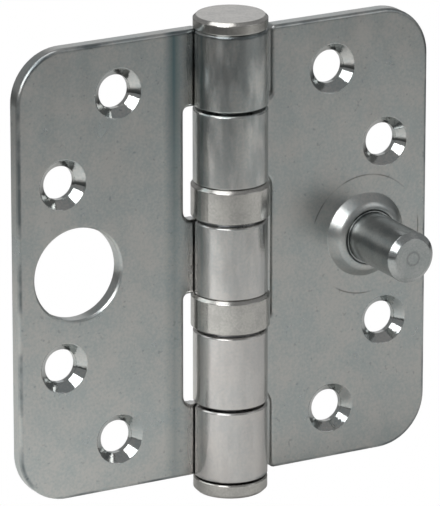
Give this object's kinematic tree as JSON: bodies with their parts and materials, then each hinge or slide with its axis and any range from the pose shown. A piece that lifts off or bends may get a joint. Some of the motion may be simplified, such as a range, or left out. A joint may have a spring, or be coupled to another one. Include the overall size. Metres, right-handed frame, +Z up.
{
  "type": "ball bearing hinge",
  "caption": "Plated steel butt hinge with rounded leaves, rolled knuckles, thrust ball bearings in the barrel and a security stud on the door leaf, shown open flat.",
  "frame": {"origin": "middle of the pin, on the hinge's turning axis", "axes": "+Z up along the pin, +X to the door leaf when open flat, +Y to the back that lies on the door and frame"},
  "size_m": [0.089, 0.0241, 0.0946],
  "materials": {
    "plated_leaf": "bright zinc plate on pressed steel, softly glossy with faint mottling",
    "plated_stud": "bright zinc plate on turned steel",
    "plain_pin": "ground steel, lightly oiled",
    "plated_cap": "bright zinc plate on turned steel",
    "plated_cup": "bright zinc plate on drawn steel",
    "hard_race": "hardened and ground steel",
    "brass_cage": "stamped brass strip",
    "polished_ball": "polished bearing steel"
  },
  "bodies": {
    "frame_side": {"frame_leaf": "plated_leaf", "hinge_pin": "plain_pin", "top_cap": "plated_cap", "bottom_cap": "plated_cap", "upper_bearing_bottom_race": "hard_race", "lower_bearing_cup": "plated_cup", "lower_bearing_top_race": "hard_race"},
    "door_side": {"door_leaf": "plated_leaf", "security_stud": "plated_stud", "upper_bearing_cup": "plated_cup", "upper_bearing_top_race": "hard_race", "lower_bearing_bottom_race": "hard_race"},
    "upper_ball_set": {"upper_bearing_cage": "brass_cage", "upper_bearing_ball_1": "polished_ball", "upper_bearing_ball_2": "polished_ball", "upper_bearing_ball_3": "polished_ball", "upper_bearing_ball_4": "polished_ball", "upper_bearing_ball_5": "polished_ball", "upper_bearing_ball_6": "polished_ball"},
    "lower_ball_set": {"lower_bearing_cage": "brass_cage", "lower_bearing_ball_1": "polished_ball", "lower_bearing_ball_2": "polished_ball", "lower_bearing_ball_3": "polished_ball", "lower_bearing_ball_4": "polished_ball", "lower_bearing_ball_5": "polished_ball", "lower_bearing_ball_6": "polished_ball"}
  },
  "joints": [
    {"name": "door_swing", "type": "hinge", "parent": "frame_side", "child": "door_side", "pos_m": [0, 0, 0], "axis": [0, 0, -1], "range_deg": [-120, 180]},
    {"name": "upper_balls_roll", "type": "hinge", "parent": "frame_side", "child": "upper_ball_set", "pos_m": [0, 0, 0.012], "axis": [0, 0, -1], "range_deg": [-60, 90]},
    {"name": "lower_balls_roll", "type": "hinge", "parent": "frame_side", "child": "lower_ball_set", "pos_m": [0, 0, -0.0105], "axis": [0, 0, -1], "range_deg": [-60, 90]}
  ],
  "couplings": [
    {"joint": "upper_balls_roll", "follows": "door_swing", "ratio": 0.5},
    {"joint": "lower_balls_roll", "follows": "door_swing", "ratio": 0.5}
  ]
}
